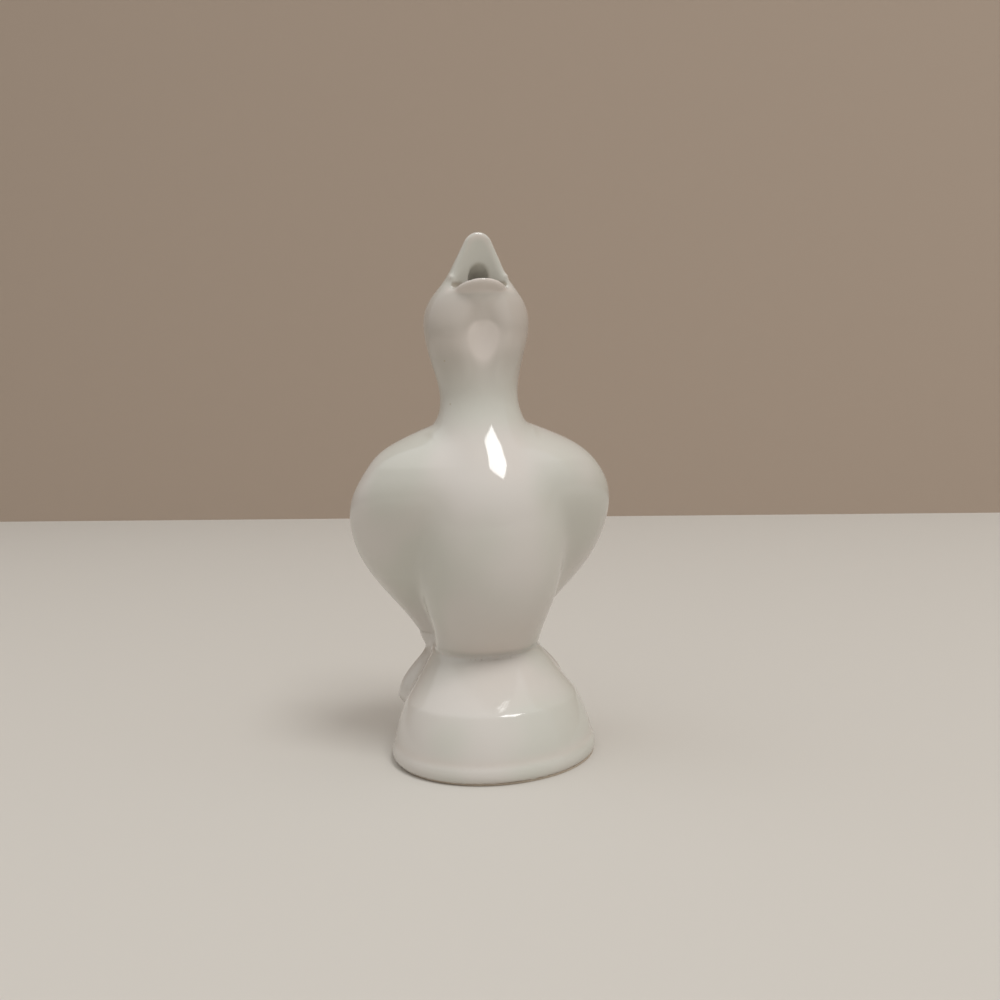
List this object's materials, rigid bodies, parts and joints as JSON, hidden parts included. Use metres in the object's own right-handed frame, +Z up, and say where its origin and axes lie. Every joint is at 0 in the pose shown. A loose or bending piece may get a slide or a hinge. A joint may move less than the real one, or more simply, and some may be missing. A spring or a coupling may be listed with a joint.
{
  "type": "pie bird",
  "caption": "Upright hollow glazed ceramic bird on a flared round plinth, with its bill open to the sky, used as a steam funnel in a covered pie.",
  "frame": {"origin": "centre of the round foot, on the surface the bird stands on", "axes": "+Z up along the plinth's axis, -Y the way the breast and the open bill face, +X to the right as seen from the front"},
  "size_m": [0.0576, 0.044, 0.1098],
  "materials": {
    "white_glaze": "glossy off-white glaze, slightly wavy",
    "bare_stoneware": "unglazed fired stoneware, matt"
  },
  "bodies": {
    "root": {"foot_ring": "bare_stoneware", "plinth": "white_glaze", "torso": "white_glaze", "neck": "white_glaze", "head": "white_glaze", "upper_bill": "white_glaze", "lower_bill": "white_glaze", "left_wing": "white_glaze", "right_wing": "white_glaze", "tail": "white_glaze"}
  },
  "joints": []
}
